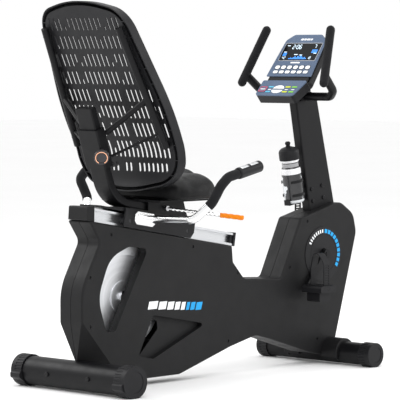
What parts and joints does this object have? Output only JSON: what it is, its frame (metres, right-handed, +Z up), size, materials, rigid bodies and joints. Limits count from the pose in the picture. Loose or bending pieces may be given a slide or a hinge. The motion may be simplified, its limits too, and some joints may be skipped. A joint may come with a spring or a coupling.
{
  "type": "recumbent exercise bike",
  "caption": "Recumbent magnetic exercise bike with a sliding seat on a rail, slotted backrest, side handlebars, console, bottle holder and a windowed flywheel case.",
  "frame": {"origin": "centre of the footprint's bounding box, on the floor", "axes": "+X from the backrest towards the console, +Y to the rider's left, +Z up"},
  "size_m": [1.5003, 0.7738, 1.3757],
  "materials": {
    "frame_paint": "satin black paint",
    "tube_paint": "fine-textured black powder coat",
    "case_plastic": "fine-grained moulded black",
    "trim_plastic": "smooth black",
    "black_steel": "black oxide",
    "rail_aluminium": "extruded, fine lengthwise grain",
    "carriage_paint": "satin plate",
    "roller_plastic": "hard turned wheel",
    "bar_chrome": "bright plated",
    "handle_paint": "satin black",
    "foam": "closed-cell foam",
    "grip_plastic": "smooth black with two steel plates",
    "faceplate_plastic": "printed blue-grey membrane",
    "display_glass": "dark window",
    "key_plastic": "raised membrane keys",
    "white_key": "pale key",
    "bottle_plastic": "tinted dark bottle with pale bands",
    "lid_plastic": "ribbed",
    "nozzle_plastic": "soft",
    "pulley_plastic": "moulded",
    "belt_rubber": "ribbed belt",
    "shaft_steel": "turned steel",
    "flywheel_iron": "turned and plated bright",
    "magnet_steel": "zinc plated",
    "pedal_plastic": "ribbed",
    "strap_rubber": "flexible",
    "lever_orange": "dipped orange",
    "knob_plastic": "black with a copper-coloured ring",
    "cushion_leather": "soft-touch black cover",
    "shell_plastic": "fine-grained moulded black"
  },
  "bodies": {
    "base": {"main_frame": "frame_paint", "rear_stabiliser": "tube_paint", "front_stabiliser": "tube_paint", "front_foot_caps": "trim_plastic", "frame_bolts": "black_steel", "left_case": "case_plastic", "right_case": "case_plastic", "case_screws": "black_steel", "foot_shrouds": "case_plastic", "crank_covers": "trim_plastic", "seat_rail": "rail_aluminium", "rail_front_cap": "case_plastic", "rail_rear_cover": "case_plastic", "console_post": "tube_paint", "upper_handlebar": "handle_paint", "upper_grips": "foam", "console_housing": "trim_plastic", "console_faceplate": "faceplate_plastic", "display_window": "display_glass", "keypad_overlay": "key_plastic", "bottle_cage": "black_steel", "flywheel_axle": "shaft_steel", "bearings": "shaft_steel", "front_belt": "belt_rubber", "rear_belt": "belt_rubber"},
    "crank": {"crank_axle": "black_steel", "drive_pulley": "pulley_plastic", "left_crank_arm": "black_steel", "right_crank_arm": "black_steel"},
    "left_footrest": {"left_pedal": "pedal_plastic", "left_pedal_strap": "strap_rubber"},
    "right_footrest": {"right_pedal": "pedal_plastic", "right_pedal_strap": "strap_rubber"},
    "intermediate": {"jackshaft": "shaft_steel"},
    "inertia_wheel": {"flywheel": "flywheel_iron"},
    "brake": {"magnet_bracket": "magnet_steel"},
    "left_cap": {"left_leveller": "trim_plastic"},
    "right_cap": {"right_leveller": "trim_plastic"},
    "key_up": {"up_key": "white_key"},
    "key_down": {"down_key": "white_key"},
    "key_stop": {"stop_key": "key_plastic"},
    "bottle": {"bottle_body": "bottle_plastic", "bottle_lid": "lid_plastic"},
    "spout": {"bottle_nozzle": "nozzle_plastic"},
    "seat": {"seat_carriage": "carriage_paint", "seat_post": "tube_paint", "seat_bracket": "black_steel", "seat_cushion": "cushion_leather", "left_side_bar": "bar_chrome", "right_side_bar": "bar_chrome", "side_foam_grips": "foam", "pulse_grips": "grip_plastic"},
    "wheels_rear": {"rear_rollers": "roller_plastic"},
    "wheels_front": {"front_rollers": "roller_plastic"},
    "lever": {"release_lever": "shaft_steel", "lever_grip": "lever_orange"},
    "backrest": {"backrest_sleeve": "tube_paint", "backrest_shell": "shell_plastic", "back_bars": "tube_paint"},
    "knob": {"height_knob": "knob_plastic"}
  },
  "joints": [
    {"name": "flywheel_spin", "type": "hinge", "parent": "base", "child": "inertia_wheel", "pos_m": [-0.47, 0, 0.32], "axis": [0, 1, 0], "continuous": true},
    {"name": "jackshaft_spin", "type": "hinge", "parent": "base", "child": "intermediate", "pos_m": [0.399, 0, 0.25], "axis": [0, 1, 0], "continuous": true},
    {"name": "crank_spin", "type": "hinge", "parent": "base", "child": "crank", "pos_m": [0.555, 0, 0.424], "axis": [0, 1, 0], "continuous": true},
    {"name": "left_pedal_spin", "type": "hinge", "parent": "crank", "child": "left_footrest", "pos_m": [0.66325, 0.14, 0.54853], "axis": [0, 1, 0], "continuous": true},
    {"name": "right_pedal_spin", "type": "hinge", "parent": "crank", "child": "right_footrest", "pos_m": [0.44675, -0.14, 0.29947], "axis": [0, 1, 0], "continuous": true},
    {"name": "magnet_swing", "type": "hinge", "parent": "base", "child": "brake", "pos_m": [-0.32, 0, 0.145], "axis": [0, 1, 0], "range_deg": [-8, 0]},
    {"name": "left_leveller_turn", "type": "hinge", "parent": "base", "child": "left_cap", "pos_m": [-0.686, 0.27, 0.0565], "axis": [0, 1, 0], "range_deg": [-75, 75]},
    {"name": "right_leveller_turn", "type": "hinge", "parent": "base", "child": "right_cap", "pos_m": [-0.686, -0.27, 0.0565], "axis": [0, 1, 0], "range_deg": [-75, 75]},
    {"name": "seat_slide", "type": "slide", "parent": "base", "child": "seat", "axis": [0.9857, 0, -0.1686], "range_m": [0, 0.22]},
    {"name": "rear_roller_spin", "type": "hinge", "parent": "seat", "child": "wheels_rear", "pos_m": [-0.4849, 0, 0.59745], "axis": [0, 1, 0], "range_deg": [-5, 835]},
    {"name": "front_roller_spin", "type": "hinge", "parent": "seat", "child": "wheels_front", "pos_m": [-0.19412, 0, 0.54773], "axis": [0, 1, 0], "range_deg": [-5, 835]},
    {"name": "release_lever_lift", "type": "hinge", "parent": "seat", "child": "lever", "pos_m": [-0.301, -0.06, 0.634], "axis": [0, 1, 0], "range_deg": [-10, 0], "stiffness_Nm_per_rad": 1.5, "springref_deg": 14.32},
    {"name": "backrest_height", "type": "slide", "parent": "seat", "child": "backrest", "axis": [-0.3156, 0, 0.9489], "range_m": [0, 0.075]},
    {"name": "height_knob_pull", "type": "slide", "parent": "backrest", "child": "knob", "axis": [-0.7012, -0.6712, -0.2404], "range_m": [0, 0.01], "stiffness_N_per_m": 500, "springref_m": -0.006},
    {"name": "up_key_press", "type": "slide", "parent": "base", "child": "key_up", "axis": [0.6428, 0, -0.766], "range_m": [0, 0.0008], "stiffness_N_per_m": 900, "springref_m": -0.0006},
    {"name": "down_key_press", "type": "slide", "parent": "base", "child": "key_down", "axis": [0.6428, 0, -0.766], "range_m": [0, 0.0008], "stiffness_N_per_m": 900, "springref_m": -0.0006},
    {"name": "stop_key_press", "type": "slide", "parent": "base", "child": "key_stop", "axis": [0.6428, 0, -0.766], "range_m": [0, 0.0008], "stiffness_N_per_m": 900, "springref_m": -0.0006},
    {"name": "bottle_lift", "type": "slide", "parent": "base", "child": "bottle", "axis": [-0.178, 0, 0.984], "range_m": [0, 0.12]},
    {"name": "nozzle_pull", "type": "slide", "parent": "bottle", "child": "spout", "axis": [-0.178, 0, 0.984], "range_m": [0, 0.005]}
  ],
  "couplings": [
    {"joint": "jackshaft_spin", "follows": "flywheel_spin", "ratio": 0.36736},
    {"joint": "crank_spin", "follows": "flywheel_spin", "ratio": 0.08773},
    {"joint": "rear_roller_spin", "follows": "seat_slide", "rad_per_m": 65.79},
    {"joint": "front_roller_spin", "follows": "seat_slide", "rad_per_m": 65.79}
  ]
}
